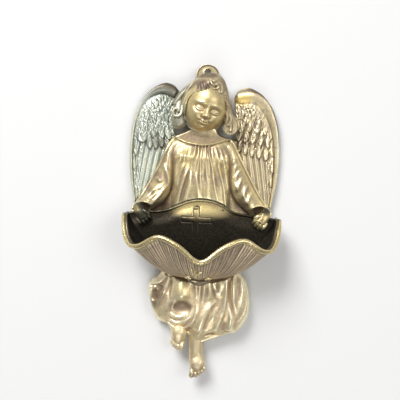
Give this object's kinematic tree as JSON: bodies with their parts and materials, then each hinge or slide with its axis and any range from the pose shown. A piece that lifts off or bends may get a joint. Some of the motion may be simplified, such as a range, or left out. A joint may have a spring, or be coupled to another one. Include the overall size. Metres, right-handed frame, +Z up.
{
  "type": "holy water font",
  "caption": "Wall-hung holy water font in cast brass: a winged child angel holds a fluted shell bowl with a cross on its back wall, and hangs by an eye above the head.",
  "frame": {"origin": "on the wall plane, on the axis of the hole in the hanging eye", "axes": "+Z up as hung, +Y into the wall, +X to the viewer's right; the font projects from the wall along -Y"},
  "size_m": [0.0886, 0.04, 0.1782],
  "materials": {
    "figure_brass": "antique satin",
    "wing_brass": "antique satin with a grey-green patina",
    "bowl_brass": "dull brown patina with a polished rim",
    "screw_brass": "turned"
  },
  "bodies": {
    "root": {"angel_figure": "figure_brass", "shell_bowl": "bowl_brass", "left_wing": "wing_brass", "left_wing_upper_screw": "screw_brass", "left_wing_lower_screw": "screw_brass", "left_bowl_screw": "screw_brass", "left_bowl_washer": "screw_brass", "right_wing": "wing_brass", "right_wing_upper_screw": "screw_brass", "right_wing_lower_screw": "screw_brass", "right_bowl_screw": "screw_brass", "right_bowl_washer": "screw_brass"}
  },
  "joints": []
}
